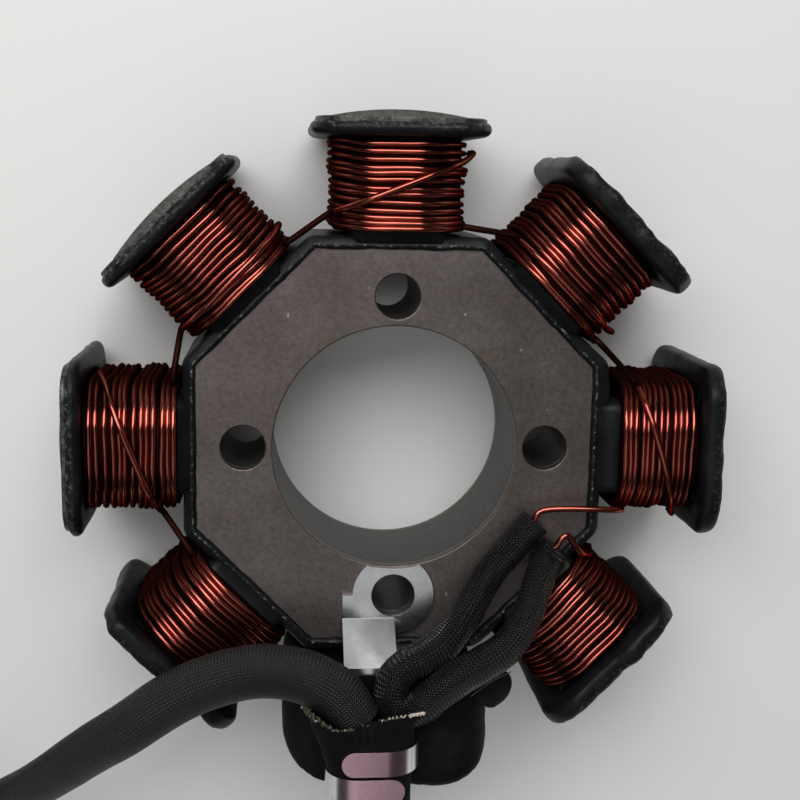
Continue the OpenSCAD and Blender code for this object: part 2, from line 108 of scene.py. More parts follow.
# Camera
def make_camera():
    place = Vector((-14.48, 34.89, 183.12)) * MM
    forward = Vector((0.08895, -0.17011, -0.98140)).normalized()
    up = Vector((-0.00405, 0.98524, -0.17115)).normalized()
    right = forward.cross(up).normalized()
    up = right.cross(forward)
    data = bpy.data.cameras.new("camera")
    data.lens = 59.17
    data.sensor_width = 36.0
    data.clip_start = 0.005
    camera = bpy.data.objects.new("camera", data)
    axes = Matrix((right, up, -forward)).transposed().to_4x4()
    camera.matrix_world = Matrix.Translation(place) @ axes
    bpy.context.scene.collection.objects.link(camera)
    bpy.context.scene.camera = camera


make_camera()


# Geometry helpers
def between(value, low, high):
    """Where a value lies on the way from low to high, from 0 to 1."""
    return min(1.0, max(0.0, (value - low) / (high - low)))


def eased(value, low, high):
    """The same with a soft start and a soft end."""
    t = between(value, low, high)
    return t * t * (3 - 2 * t)


def around(count):
    """Angles of equal steps round a circle, in radians."""
    return [2 * math.pi * k / count for k in range(count)]


def polar(r, angle):
    """A point on a circle round the origin, with the angle in degrees."""
    a = math.radians(angle)
    return Vector((r * math.cos(a), r * math.sin(a), 0))


def pole_angle(i):
    return FIRST_POLE_ANGLE - POLE_STEP * (i - 1)


def at_pole(angle, r, side, z):
    """A point of a pole's own frame: radial distance, sideways distance, height."""
    c, s = math.cos(math.radians(angle)), math.sin(math.radians(angle))
    return Vector((r * c - side * s, r * s + side * c, z))


def pole_rings(angle, shape, distances):
    """The same outline at several distances along a pole."""
    return [[at_pole(angle, r, p.x, MID_Z + p.y) for p in shape] for r in distances]


def smooth_line(points, steps):
    """Smooth curve through the points, with the ends mirrored, as the solids have it."""
    p = [Vector(q) for q in points]
    p = [2 * p[0] - p[1]] + p + [2 * p[-1] - p[-2]]
    line = []
    for i in range(1, len(p) - 2):
        a, b, c, d = p[i - 1], p[i], p[i + 1], p[i + 2]
        for k in range(steps):
            t = k / steps
            line.append(0.5 * (2 * b + (c - a) * t + (2 * a - 5 * b + 4 * c - d) * t * t
                               + (3 * b - a - 3 * c + d) * t ** 3))
    line.append(p[-2])
    return line


def heading(line, i):
    """Which way a line runs at its point i."""
    return (line[min(i + 1, len(line) - 1)] - line[max(i - 1, 0)]).normalized()


def wobble(p, scale, seed=0.0):
    """Smooth noise from -1 to 1 at a point in millimetres."""
    return noise.noise(Vector(p) * scale + Vector((seed, 2.3 * seed, 5.1 * seed)))


def rounded_outline(centres, r, corner, straight):
    """Points round a polygon with equal round corners, counter-clockwise from its right side.

    centres are those of the corners' arcs. corner counts the points of an arc, straight the steps of a side.
    """
    turn = 360 / len(centres)
    points = []
    for k, centre in enumerate(centres):
        for i in range(corner):
            points.append(centre + polar(r, turn * (k + i / (corner - 1))))
        start = points[-1]
        end = centres[(k + 1) % len(centres)] + polar(r, turn * (k + 1))
        for i in range(1, straight):
            points.append(start.lerp(end, i / straight))
    return points


def rounded_rect(half_w, half_h, r, corner, straight):
    w, h = half_w - r, half_h - r
    centres = [Vector((x, y, 0)) for x, y in ((w, h), (-w, h), (-w, -h), (w, -h))]
    return rounded_outline(centres, r, corner, straight)


def rounded_octagon(apothem, r, corner, straight):
    reach = (apothem - r) / math.cos(math.radians(POLE_STEP / 2))
    centres = [polar(reach, POLE_STEP * (k + 0.5)) for k in range(POLES)]
    return rounded_outline(centres, r, corner, straight)


class Shell:
    """Collects vertices in millimetres, faces and surface coordinates for one mesh."""

    def __init__(self):
        self.verts = []
        self.faces = []
        self.uvs = []
        self.slots = []

    def add_face(self, face, slot, uv=None):
        self.faces.append(face)
        self.slots.append(slot)
        self.uvs.append(uv or ((0.0, 0.0),) * len(face))

    def loft(self, rings, closed_path=False, caps=False, uv=None, slot=0):
        """Joins closed rings of equal length. uv gives each ring's (around, along) in millimetres."""
        base = len(self.verts)
        n = len(rings[0])
        m = len(rings)
        for ring in rings:
            self.verts.extend(ring)
        for i in range(m if closed_path else m - 1):
            row, next_row = base + i * n, base + (i + 1) % m * n
            for k in range(n):
                after = (k + 1) % n
                corners = None
                if uv:
                    (round_i, along_i), (round_j, along_j) = uv[i], uv[(i + 1) % m]
                    a, b = k / n, (k + 1) / n
                    corners = ((a * round_i, along_i), (b * round_i, along_i),
                               (b * round_j, along_j), (a * round_j, along_j))
                self.add_face((row + k, row + after, next_row + after, next_row + k), slot, corners)
        if caps:
            last = base + (m - 1) * n
            self.add_face(tuple(range(base + n - 1, base - 1, -1)), slot)
            self.add_face(tuple(range(last, last + n)), slot)

    def tube(self, line, radius, sides, slot=0, up=UP):
        """Round tube along a line. radius is a number, or a function of the index along the line."""
        size = radius if callable(radius) else lambda i: radius
        rings = []
        uv = []
        along = 0.0
        side = None
        for i, p in enumerate(line):
            ahead = heading(line, i)
            side = ahead.cross(up) if side is None else side - ahead * side.dot(ahead)
            side.normalize()
            top = side.cross(ahead)
            r = size(i)
            rings.append([p + r * (math.cos(a) * side + math.sin(a) * top) for a in around(sides)])
            if i:
                along += (p - line[i - 1]).length
            uv.append((2 * math.pi * r, along))
        self.loft(rings, caps=True, uv=uv, slot=slot)

    def build(self, name, materials, replaces=(), sharp=None):
        mesh = bpy.data.meshes.new(name)
        mesh.from_pydata([Vector(v) * MM for v in self.verts], [], self.faces)
        for material in materials:
            mesh.materials.append(material)
        layer = mesh.uv_layers.new(name="surface")
        values = [c for face in self.uvs for pair in face for c in pair]
        layer.data.foreach_set("uv", values)
        mesh.polygons.foreach_set("material_index", self.slots)
        shade_smooth(mesh)
        bm = bmesh.new()
        bm.from_mesh(mesh)
        bmesh.ops.recalc_face_normals(bm, faces=bm.faces)
        bm.to_mesh(mesh)
        bm.free()
        if sharp:
            mesh.set_sharp_from_angle(angle=math.radians(sharp))
        return add_piece(name, mesh, replaces)


def shade_smooth(mesh):
    mesh.polygons.foreach_set("use_smooth", [True] * len(mesh.polygons))


def add_piece(name, mesh, replaces=()):
    obj = bpy.data.objects.new(name, mesh)
    bpy.context.scene.collection.objects.link(obj)
    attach(obj, "root")
    if replaces:
        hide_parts(*replaces)
    return obj


def apply_modifiers(obj):
    """Gives an object the mesh that its modifiers make."""
    graph = bpy.context.evaluated_depsgraph_get()
    mesh = bpy.data.meshes.new_from_object(obj.evaluated_get(graph))
    obj.modifiers.clear()
    obj.data = mesh


def copy_of_node(node):
    """A loose copy of a solid's mesh, with its flat faces joined."""
    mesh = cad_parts[node].data.copy()
    bm = bmesh.new()
    bm.from_mesh(mesh)
    bmesh.ops.remove_doubles(bm, verts=bm.verts, dist=1e-6)
    bmesh.ops.dissolve_limit(bm, angle_limit=math.radians(0.4), verts=bm.verts, edges=bm.edges)
    bm.to_mesh(mesh)
    bm.free()
    mesh.materials.clear()
    return mesh


def bevelled(node, width, material, segments=2):
    """A copy of a solid with its sharp edges rounded, which stands for it."""
    sharp = math.radians(35.0)
    obj = add_piece(node + "_dressed", copy_of_node(node), (node,))
    bevel = obj.modifiers.new("edges", "BEVEL")
    bevel.width = width * MM
    bevel.segments = segments
    bevel.limit_method = "ANGLE"
    bevel.angle_limit = sharp
    bevel.use_clamp_overlap = True
    bevel.harden_normals = True
    shade_smooth(obj.data)
    obj.data.set_sharp_from_angle(angle=sharp)
    apply_modifiers(obj)
    obj.data.materials.append(material)
    return obj


# Materials
class Nodes:
    """Short calls for the nodes of one shader tree."""

    def __init__(self, tree):
        self.tree = tree

    def node(self, kind, **fields):
        node = self.tree.nodes.new(kind)
        for key, value in fields.items():
            setattr(node, key, value)
        return node

    def link(self, out, into):
        self.tree.links.new(out, into)

    def feed(self, socket, value):
        """Sets a number or a colour on a socket, or links an output to it."""
        if isinstance(value, (int, float)):
            socket.default_value = value
        elif isinstance(value, tuple):
            socket.default_value = (*value, 1.0)
        else:
            self.link(value, socket)

    def math(self, operation, *values):
        node = self.node("ShaderNodeMath", operation=operation)
        for socket, value in zip(node.inputs, values):
            self.feed(socket, value)
        return node.outputs[0]

    def split(self, vector):
        """The three numbers of a vector, by the name of their axis."""
        node = self.node("ShaderNodeSeparateXYZ")
        self.link(vector, node.inputs["Vector"])
        return node.outputs

    def ramp(self, fac, *stops):
        """stops are (position, colour), the colour being a grey or red, green and blue."""
        node = self.node("ShaderNodeValToRGB")
        elements = node.color_ramp.elements
        while len(elements) < len(stops):
            elements.new(0.5)
        for element, (position, colour) in zip(elements, stops):
            red, green, blue = colour if isinstance(colour, tuple) else (colour,) * 3
            element.position = position
            element.color = (red, green, blue, 1.0)
        self.link(fac, node.inputs["Fac"])
        return node.outputs["Color"]

    def mix(self, fac, a, b, blend="MIX"):
        node = self.node("ShaderNodeMix", data_type="RGBA", blend_type=blend)
        for index, value in ((0, fac), (6, a), (7, b)):
            self.feed(node.inputs[index], value)
        return node.outputs[2]

    def seen_rays(self):
        """1 for the rays that show the background: in the picture, in metal and in clear pieces."""
        ray = self.node("ShaderNodeLightPath")
        seen = ray.outputs["Is Camera Ray"]
        for kind in ("Is Glossy Ray", "Is Transmission Ray"):
            seen = self.math("MAXIMUM", seen, ray.outputs[kind])
        return seen

    def show(self, fac, first, second, output):
        """Sends a mix of two shaders to the output node."""
        mix = self.node("ShaderNodeMixShader")
        self.link(fac, mix.inputs["Fac"])
        self.link(first, mix.inputs[1])
        self.link(second, mix.inputs[2])
        self.link(mix.outputs["Shader"], self.tree.nodes[output].inputs["Surface"])


class Paint(Nodes):
    """A material with its shader, and the patterns that it uses."""

    def __init__(self, name, base, metallic=0.0, roughness=0.5, **more):
        self.material = bpy.data.materials.new(name)
        self.material.use_nodes = True
        super().__init__(self.material.node_tree)
        self.shader = self.tree.nodes["Principled BSDF"]
        self.set("Base Color", (*base, 1.0))
        self.set("Metallic", metallic)
        self.set("Roughness", roughness)
        for key, value in more.items():
            self.set(key.replace("_", " "), value)

    def set(self, socket, value):
        self.shader.inputs[socket].default_value = value

    def place(self):
        """The point of the surface in the part's own frame."""
        return self.node("ShaderNodeTexCoord").outputs["Object"]

    def surface(self):
        """The mesh's own surface coordinates."""
        return self.node("ShaderNodeUVMap", uv_map="surface").outputs["UV"]

    def radius(self):
        """Distance from the bore axis, in metres."""
        at = self.split(self.place())
        squares = [self.math("POWER", at[axis], 2.0) for axis in ("X", "Y")]
        return self.math("SQRT", self.math("ADD", *squares))

    def share(self, length, full):
        """A length in metres as a share of a full one in millimetres."""
        return self.math("MULTIPLY", length, 1.0 / (full * MM))

    def noise(self, scale, detail=3.0, rough=0.55, distortion=0.0):
        node = self.node("ShaderNodeTexNoise")
        node.inputs["Scale"].default_value = scale
        node.inputs["Detail"].default_value = detail
        node.inputs["Roughness"].default_value = rough
        node.inputs["Distortion"].default_value = distortion
        self.link(self.place(), node.inputs["Vector"])
        return node.outputs["Fac"]

    def weave(self, pitch):
        """Height of a braid of two crossing sets of strands."""
        at = self.split(self.surface())
        round_way = self.math("MULTIPLY", at["X"], 1.0 / pitch)
        along = self.math("MULTIPLY", at["Y"], 1.0 / pitch)
        strands = [self.math(way, round_way, along) for way in ("ADD", "SUBTRACT")]
        crests = [self.math("SINE", self.math("MULTIPLY", self.math("FRACT", s), math.pi)) for s in strands]
        total = self.math("ADD", *[self.math("FLOOR", s) for s in strands])
        odd = self.math("FLOORED_MODULO", total, 2.0)
        even = self.math("SUBTRACT", 1.0, odd)
        return self.math("ADD", self.math("MULTIPLY", crests[0], odd), self.math("MULTIPLY", crests[1], even))

    def over(self, tone, mask, amount, colour):
        """The tone with a colour laid over it where the mask is 1."""
        return self.mix(self.math("MULTIPLY", mask, amount), tone, colour)

    def colour(self, out):
        self.link(out, self.shader.inputs["Base Color"])

    def roughness(self, fac, low, high):
        node = self.node("ShaderNodeMapRange")
        node.inputs["To Min"].default_value = low
        node.inputs["To Max"].default_value = high
        self.link(fac, node.inputs["Value"])
        self.link(node.outputs["Result"], self.shader.inputs["Roughness"])

    def bump(self, height, distance, strength):
        node = self.node("ShaderNodeBump")
        node.inputs["Distance"].default_value = distance * MM
        node.inputs["Strength"].default_value = strength
        self.link(height, node.inputs["Height"])
        self.link(node.outputs["Normal"], self.shader.inputs["Normal"])


def plate_steel():
    """Bare sheet, stained near the bore and mottled on the bent lips."""
    paint = Paint("plate_steel", (0.17, 0.148, 0.14), metallic=0.8, roughness=0.42)
    radius = paint.radius()
    cloud = paint.noise(90, 4)
    grain = paint.noise(2600, 2)
    tone = paint.ramp(cloud, (0.3, (0.13, 0.107, 0.102)), (0.7, (0.19, 0.163, 0.155)))
    sand = paint.ramp(paint.noise(1700, 4, 0.7), (0.34, 0.62), (0.64, 1.0))
    tone = paint.mix(0.8, tone, sand, "MULTIPLY")
    near_bore = paint.ramp(paint.share(radius, 40), (0.39, 1.0), (0.5, 0.0))
    stain = paint.ramp(paint.noise(210, 5, 0.6, 0.4), (0.52, 0.0), (0.68, 1.0))
    tone = paint.over(tone, paint.math("MULTIPLY", stain, near_bore), 0.6, (0.12, 0.095, 0.045))
    lip = paint.ramp(paint.share(radius, 50), (0.76, 0.0), (0.79, 1.0))
    blotches = paint.noise(1500, 5, 0.7)
    mottle = paint.ramp(blotches, (0.42, (0.032, 0.034, 0.032)), (0.68, (0.15, 0.152, 0.138)))
    tone = paint.mix(lip, tone, mottle)
    specks = paint.ramp(paint.noise(1500, 2, 0.5), (0.70, 0.0), (0.75, 1.0))
    tone = paint.over(tone, specks, 0.6, (0.03, 0.028, 0.026))
    flecks = paint.ramp(paint.noise(900, 1, 0.5, 0.3), (0.775, 0.0), (0.79, 1.0))
    paint.colour(paint.over(tone, flecks, 0.6, (0.45, 0.43, 0.40)))
    paint.roughness(grain, 0.34, 0.52)
    paint.bump(paint.math("ADD", grain, paint.math("MULTIPLY", cloud, 3.0)), 0.02, 0.6)
    return paint.material


def lamination_steel():
    """Cut edges of thin sheets, with a dark seam between them."""
    sheet_t = 0.5
    paint = Paint("lamination_steel", (0.2, 0.19, 0.185), metallic=0.8, roughness=0.45)
    sheets = paint.share(paint.split(paint.place())["Z"], sheet_t)
    across = paint.math("FRACT", paint.math("ADD", sheets, 0.5))
    seam = paint.ramp(across, (0.0, 0.0), (0.14, 1.0), (0.86, 1.0), (1.0, 0.0))
    cloud = paint.noise(1500, 5, 0.7)
    tone = paint.ramp(cloud, (0.38, (0.06, 0.06, 0.057)), (0.7, (0.14, 0.141, 0.13)))
    paint.colour(paint.mix(seam, (0.02, 0.019, 0.018), tone))
    paint.roughness(cloud, 0.38, 0.55)
    paint.bump(seam, 0.05, 0.7)
    return paint.material


def epoxy():
    """Black coating. The surface coordinate's second number says how much an edge is rubbed."""
    paint = Paint("epoxy", (0.005, 0.0055, 0.0065), roughness=0.36, Specular_IOR_Level=0.17)
    wear = paint.math("POWER", paint.split(paint.surface())["Y"], 2.0)
    cloud = paint.noise(240, 4)
    fine = paint.noise(1500, 3)
    tone = paint.ramp(cloud, (0.3, (0.003, 0.0034, 0.004)), (0.7, (0.008, 0.009, 0.0105)))
    dust = paint.ramp(paint.noise(1600, 5, 0.7), (0.62, 0.0), (0.74, 1.0))
    tone = paint.over(tone, dust, 0.12, (0.1, 0.105, 0.11))
    rubbed = paint.ramp(paint.noise(1700, 5, 0.72), (0.52, 0.0), (0.66, 1.0))
    paint.colour(paint.over(tone, paint.math("MULTIPLY", rubbed, wear), 0.45, (0.28, 0.29, 0.29)))
    paint.roughness(fine, 0.3, 0.52)
    paint.bump(paint.math("ADD", cloud, paint.math("MULTIPLY", fine, 0.35)), 0.2, 0.6)
    return paint.material


def copper(name, dark, light, rough):
    """Enamelled wire, full in colour and smooth at the front and the rear; down the coils' sides its colour
    is darkened as painted shade, and it is rougher there.
    """
    paint = Paint(name, light, metallic=1.0, roughness=rough, Specular_Tint=(0.25, 0.09, 0.07, 1.0))
    height = paint.math("SUBTRACT", paint.split(paint.place())["Z"], MID_Z * MM)
    # Painted shade: near the core's middle height, down the coils' sides, the colour is darkened to 0.22 of
    # itself; the same mask makes the sides rougher.
    painted_side_shade = paint.ramp(paint.share(paint.math("ABSOLUTE", height), 20), (0.36, 0.22), (0.56, 1.0))
    tone = paint.ramp(paint.noise(170, 3), (0.3, dark), (0.7, light))
    paint.colour(paint.mix(1.0, tone, painted_side_shade, "MULTIPLY"))
    paint.roughness(painted_side_shade, rough + 0.5, rough)
    return paint.material


def black_weave(name, pitch, depth, rough, low=0.002, high=0.009, shine=0.36):
    paint = Paint(name, (high, high, high), roughness=rough, Specular_IOR_Level=shine)
    height = paint.weave(pitch)
    cloud = paint.noise(160, 4)
    # Painted shade: the colour follows the weave's height, darker in the troughs between strands and lighter
    # on their crests.
    tone = paint.ramp(height, (0.0, low), (1.0, high))
    dust = paint.ramp(cloud, (0.45, 0.0), (0.75, 1.0))
    paint.colour(paint.over(tone, dust, 0.2, (0.02, 0.02, 0.019)))
    paint.roughness(cloud, rough - 0.08, rough + 0.12)
    paint.bump(paint.math("ADD", height, paint.math("MULTIPLY", cloud, 0.8)), depth, 0.9)
    return paint.material


def cloth_tape():
    paint = Paint("cloth_tape", (0.004, 0.004, 0.004), roughness=0.6, Specular_IOR_Level=0.12)
    waves = []
    for way in ("X", "Z"):
        node = paint.node("ShaderNodeTexWave", bands_direction=way, wave_profile="SIN")
        node.inputs["Scale"].default_value = 900
        node.inputs["Distortion"].default_value = 0.6
        paint.link(paint.place(), node.inputs["Vector"])
        waves.append(node.outputs["Fac"])
    threads = paint.math("MULTIPLY", *waves)
    cloud = paint.noise(130, 5)
    paint.colour(paint.ramp(cloud, (0.3, 0.002), (0.75, 0.006)))
    paint.roughness(cloud, 0.5, 0.75)
    paint.bump(paint.math("ADD", threads, paint.math("MULTIPLY", cloud, 6.0)), 0.06, 0.7)
    return paint.material


def zinc():
    """Shiny plate, with a painted pink reflection on the fingers' tops."""
    paint = Paint("zinc", (0.74, 0.75, 0.76), metallic=1.0, roughness=0.24)
    tone = paint.ramp(paint.noise(300, 4), (0.3, (0.58, 0.595, 0.61)), (0.7, (0.72, 0.735, 0.75)))
    # Painted reflection: above about 32 mm the fingers' tops are tinted pink.
    high = paint.ramp(paint.share(paint.split(paint.place())["Z"], 40), (0.795, 0.0), (0.815, 1.0))
    paint.colour(paint.mix(high, tone, (0.66, 0.42, 0.49)))
    paint.roughness(paint.noise(1800, 2), 0.18, 0.3)
    paint.bump(paint.noise(500, 3), 0.02, 0.4)
    return paint.material


def clouded(name, base, roughness, metallic=0.0):
    """A plain finish of one colour, a little uneven."""
    paint = Paint(name, base, metallic, roughness)
    cloud = paint.noise(260, 3)
    darker = tuple(0.82 * c for c in base)
    paint.colour(paint.ramp(cloud, (0.3, darker), (0.7, base)))
    paint.roughness(cloud, roughness - 0.08, roughness + 0.1)
    paint.bump(paint.noise(1500, 2), 0.02, 0.5)
    return paint.material


PLATE = plate_steel()
SHEETS = lamination_steel()
EPOXY = epoxy()
COPPER = copper("copper_wire", (0.25, 0.058, 0.04), (0.44, 0.118, 0.084), 0.17)
# Near-black copper as painted shade, for the layers hidden under the outer turns and for the exciter's
# winding.
COPPER_PAINTED_SHADE = copper("copper_painted_shade", (0.012, 0.003, 0.002), (0.02, 0.005, 0.003), 0.6)
# A darker copy of the wire's copper, for the links past the coils.
COPPER_DARK = copper("copper_darker", (0.04, 0.012, 0.008), (0.1, 0.028, 0.02), 0.3)
SLEEVE = black_weave("sleeve_weave", 0.38, 0.08, 0.46)
LEAD = black_weave("lead_weave", 0.46, 0.26, 0.26, shine=0.42)
WRAP = black_weave("wrap_weave", 0.34, 0.05, 0.7, 0.0015, 0.004, 0.1)
TAPE = cloth_tape()
ZINC = zinc()
NYLON = clouded("nylon", (0.74, 0.72, 0.66), 0.42)
COLLAR = clouded("collar_rubber", (0.02, 0.02, 0.021), 0.5)
YARN = clouded("raw_yarn", (0.66, 0.58, 0.52), 0.8)
YARN_GREY = clouded("soiled_yarn", (0.11, 0.10, 0.06), 0.85)
BRASS = clouded("terminal_brass", (0.75, 0.58, 0.28), 0.3, metallic=1.0)
WIRE_COLOURS = {
    "wire_yellow": (0.75, 0.55, 0.06), "wire_white": (0.8, 0.8, 0.77),
    "wire_green": (0.06, 0.3, 0.11), "wire_red": (0.5, 0.05, 0.04)}


# Harness cord
SLEEVE_SIDES = 32
# Where the sleeve is pressed flat: its shift to one side, and the shares by which it is wider and lower
PRESS_SHIFT = 0.5
PRESS_WIDER = 0.17
PRESS_LOWER = 0.12
SLEEVE_DENT = 0.06
# Along the sleeve it is pressed fully from the first of these lengths to the second, and round at the third
PRESS_FULL = 6.0
PRESS_EASES = 28.0
PRESS_ENDS = 62.0


def arc(center, r, start, end, r_end=None):
    """Points along a clockwise arc, from one angle down to another, easing to another radius."""
    count = max(2, round(abs(start - end) / 6))
    line = []
    for k in range(1, count + 1):
        t = k / count
        r_here = r if r_end is None else r + (r_end - r) * eased(t, 0, 1)
        line.append(center + polar(r_here, start + (end - start) * t))
    return line


def harness_line():
    line = smooth_line(SLEEVE_ROUTE, 8)
    entry_steps = 7
    for k in range(1, entry_steps + 1):
        line.append(STORE_CENTER + Vector((ENTRY_L * (1 - k / entry_steps), -OUTER_TURN_R, 0)))
    line += arc(STORE_CENTER, OUTER_TURN_R, -90, -390)
    line += arc(STORE_CENTER, OUTER_TURN_R, -390, -450, INNER_TURN_R)
    line += arc(STORE_CENTER, INNER_TURN_R, -450, -720)
    line += arc(TAIL_CENTER, TAIL_R, 0, -TAIL_ANGLE)
    return line


def pressed(line):
    """How far the soft sleeve is pressed flat at each point of its line, and which way is sideways there."""
    along = 0.0
    values = []
    for i, p in enumerate(line):
        if i:
            along += (p - line[i - 1]).length
        share = between(along, 0, PRESS_FULL) * between(along, PRESS_ENDS, PRESS_EASES)
        values.append((eased(share, 0, 1), heading(line, i).cross(UP).normalized()))
    return values


def make_harness():
    line = harness_line()
    press = pressed(line)
    line = [p + side * PRESS_SHIFT * share for p, (share, side) in zip(line, press)]
    shell = Shell()
    shell.tube(line, SLEEVE_D / 2 - 0.02, SLEEVE_SIDES)
    for i, v in enumerate(shell.verts):
        centre = line[i // SLEEVE_SIDES]
        share, side = press[i // SLEEVE_SIDES]
        out = (v - centre).normalized()
        wide = side * (v - centre).dot(side)
        v = v + wide * PRESS_WIDER * share - UP * PRESS_LOWER * share * (v.z - centre.z)
        shell.verts[i] = v - out * SLEEVE_DENT * (1 + wobble(v, 0.35))
    cord = shell.build("harness_cord", [SLEEVE], ("harness_sleeve", "harness_coil"))
    return cord, line


def at_tail(x, y, z):
    """A point at the end of the stored coil, with x along the cord."""
    end = TAIL_CENTER + polar(TAIL_R, -TAIL_ANGLE)
    ahead = polar(1, 270 - TAIL_ANGLE)
    left = polar(1, 360 - TAIL_ANGLE)
    return end + ahead * x + left * y + UP * z


def harness_wires():
    pieces = []
    bunch = HARNESS_WIRE_D / 2 + 0.2
    straight = 2.7
    for i, (slot, colour) in enumerate(WIRE_COLOURS.items(), 1):
        start_y = -bunch if i < 3 else bunch
        start_z = bunch if i in (1, 4) else -bunch
        end_y = (i - 2.5) * TERMINAL_PITCH
        points = [(COLLAR_L, start_y, start_z), (COLLAR_L + straight, start_y, start_z),
                  (COLLAR_L + WIRE_RUN - straight, end_y, 0), (COLLAR_L + WIRE_RUN, end_y, 0)]
        shell = Shell()
        shell.tube([at_tail(*p) for p in smooth_line(points, 8)], HARNESS_WIRE_D / 2, 16)
        name = f"harness_wire_{i}"
        paint = clouded(slot, colour, 0.35)
        pieces.append(shell.build(name + "_dressed", [paint], (name,), sharp=50))
    return pieces


def harness_collar():
    line = [at_tail(x, 0, 0) for x in (0, 0.15, 0.5, 1.4, 2.4, 3.4, 4.4, 4.8, COLLAR_L)]
    radii = (3.05, 3.25, 3.38, 3.34, 3.38, 3.33, 3.36, 3.2, 2.9)
    shell = Shell()
    shell.tube(line, lambda i: radii[i], SLEEVE_SIDES)
    return shell.build("sleeve_collar_dressed", [COLLAR], ("sleeve_collar",), sharp=60)


def harness_ends():
    pieces = harness_wires()
    pieces.append(harness_collar())
    pieces.append(bevelled("connector_housing", 0.35, NYLON, 3))
    pieces.append(bevelled("connector_terminals", 0.12, BRASS))
    pieces.append(bevelled("coil_tie", 0.12, NYLON))
    return pieces


cord, cord_line = make_harness()
end_pieces = harness_ends()


# Core
def make_core():
    for plate in ("front_end_plate", "rear_end_plate"):
        bevelled(plate, 0.22, PLATE, 3)
    bevelled("lamination_stack", 0.06, SHEETS, 1)


# Coating
# Across a shoe's edge: distance in from its outline, distance from the bore axis, how rubbed it is
SHOE_INSIDE = [
    (3.6, 39.32, 0), (2.2, 39.3, 0), (1.3, 39.32, 0), (0.75, 39.4, 0), (0.35, 39.6, 0.1), (0.1, 39.9, 0.2)]
BARE_SHOE = SHOE_INSIDE + [
    (0.0, 40.2, 0.5), (0.02, 40.5, 0.8), (0.12, 40.75, 1), (0.3, 40.95, 1), (0.52, 41.05, 1),
    (0.72, 40.95, 0.6), (0.9, 40.5, 0), (3.6, 40.2, 0)]
COVERED_SHOE = SHOE_INSIDE + [
    (0.0, 40.4, 0.2), (0.0, 40.9, 0.4), (0.08, 41.4, 0.6), (0.32, 41.8, 0.7), (0.8, 42.0, 0.6),
    (1.6, 42.05, 0.3), (2.6, 41.95, 0.2), (3.4, 41.5, 0), (3.6, 40.2, 0)]
COVERED_COILS = (1, 5, 6, 7)
SHOE_ROUND = 90.0
# Farther from the bore axis than this a shoe's coating is lumpy
LUMPY_R = 40.3
# Drops of coating on a shoe's edge: coil, side, height, reach, width
DRIPS = [
    (5, 4.5, 13.6, 0.4, 0.8), (5, -2.0, 13.8, 0.5, 1.0), (5, -8.6, 13.2, 0.5, 0.9),
    (3, -10.6, 12.6, 0.8, 0.35), (4, 10.9, 12.4, 0.7, 0.4), (7, 3.4, 13.7, 0.6, 1.0),
    (7, -6.0, 13.7, 0.45, 0.8), (1, -9.2, 13.0, 0.6, 1.0), (2, -3.2, 13.8, 0.5, 0.9),
    (3, 7.4, 13.7, 0.35, 0.7)]


def coated_shoe(shell, angle, half_h, corner_r, coil=0):
    """The layer round a pole's shoe. The exciter's has no coil number and no drops."""
    drips = [d[1:] for d in DRIPS if d[0] == coil]
    covered = coil in COVERED_COILS
    lumps = 0.34 if covered else 0.2
    half_w = SHOE_W / 2 + COAT_T
    rings = []
    uv = []
    for inset, r, rubbed in COVERED_SHOE if covered else BARE_SHOE:
        ring = []
        shape = rounded_rect(half_w - inset, half_h - inset, max(corner_r - inset, 0.5), 9, 14)
        for side, height, _ in shape:
            if inset < 1.0:
                p = at_pole(angle, r, side, MID_Z + height)
                grow = 0.16 * wobble(p, 0.22, 1.0) + 0.09 * wobble(p, 0.7, 2.0)
                for drip_side, drip_z, reach, width in drips:
                    gap = math.hypot(side - drip_side, height - drip_z)
                    grow += reach * math.exp(-(gap / width) ** 2)
                larger = 1 + grow / math.hypot(side, height)
                side, height = side * larger, height * larger
            r_here = r
            if r > LUMPY_R:
                flat = Vector((side, height, 3.0 * coil))
                r_here += lumps * (wobble(flat, 0.34, 4.0) + 0.5 * wobble(flat, 0.9, 5.0))
            ring.append(at_pole(angle, r_here, side, MID_Z + height))
        rings.append(ring)
        uv.append((SHOE_ROUND, rubbed))
    shell.loft(rings, closed_path=True, uv=uv)


def coated_neck(shell, angle):
    shape = rounded_rect(NECK_W / 2 + COAT_T, CORE_T / 2 + COAT_T, 1.5, 5, 3)
    shell.loft(pole_rings(angle, shape, (26.2, 29, 34, 39.6)), caps=True)


# Across the ring's border: distance of its flats from the bore axis, height, how rubbed it is
RING_PROFILE = [
    (25.4, 17.9, 0), (25.42, 18.2, 0), (25.55, 18.44, 0.1), (25.74, 18.58, 0.4), (25.9, 18.63, 1.4),
    (26.06, 18.6, 0.4), (26.35, 18.44, 0.1), (26.7, 18.32, 0), (27.0, 18.14, 0), (27.17, 17.7, 0),
    (27.2, 16.9, 0)]
RING_WALL = [(27.2, 12, 0), (27.2, 6, 0)]
RING_BACK = [(26.4, 0.4, 0), (26.4, 17.6, 0)]
RING_ROUND = 170.0
# Closer to the bore axis than the first the border's edge wavers, farther than the second the wall does
BORDER_APOTHEM = 26.2
WALL_APOTHEM = 26.5
# The border is fuller round one corner: its direction, how wide and how much
SWELL_ANGLE = 13.0
SWELL_SPREAD = 10.0
SWELL = 0.9


